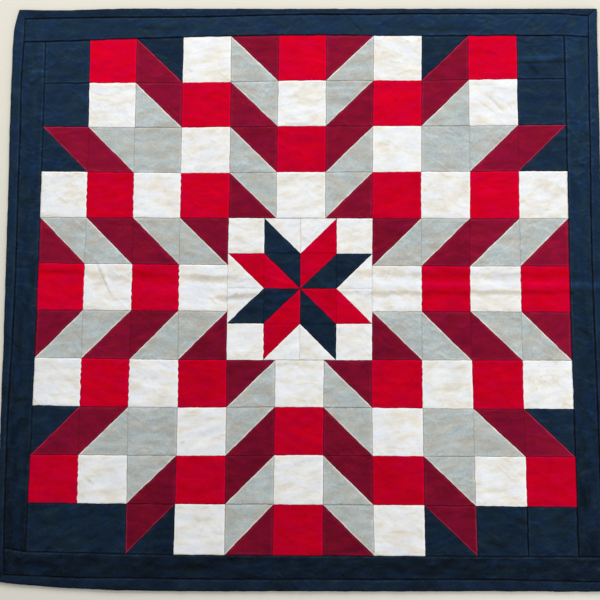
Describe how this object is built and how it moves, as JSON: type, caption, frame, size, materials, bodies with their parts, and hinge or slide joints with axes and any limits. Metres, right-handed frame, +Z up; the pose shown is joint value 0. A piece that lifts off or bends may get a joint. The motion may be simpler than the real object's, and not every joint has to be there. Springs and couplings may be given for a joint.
{
  "type": "quilted table topper",
  "caption": "Flat square quilted table topper of pieced cotton, an eight-pointed star in rings of squares and slanted bands, with plain border strips and a mitred binding.",
  "frame": {"origin": "on the surface that the quilt lies on, under the middle of its outline", "axes": "+Z up out of the patchwork face, +Y towards the top edge of the design, +X to its right"},
  "size_m": [0.631, 0.6292, 0.0035],
  "materials": {
    "off_white_cotton": "matt woven cotton with a faint cream mottle",
    "navy_cotton": "matt woven cotton",
    "red_cotton": "matt woven cotton",
    "burgundy_cotton": "matt woven cotton",
    "grey_cotton": "matt woven cotton with a faint mottle",
    "navy_border": "matt woven cotton",
    "navy_binding": "matt woven cotton, folded double"
  },
  "bodies": {
    "root": {"patchwork": "off_white_cotton", "border_top": "navy_border", "border_bottom": "navy_border", "border_left": "navy_border", "border_right": "navy_border", "binding_top": "navy_binding", "binding_bottom": "navy_binding", "binding_left": "navy_binding", "binding_right": "navy_binding"}
  },
  "joints": []
}
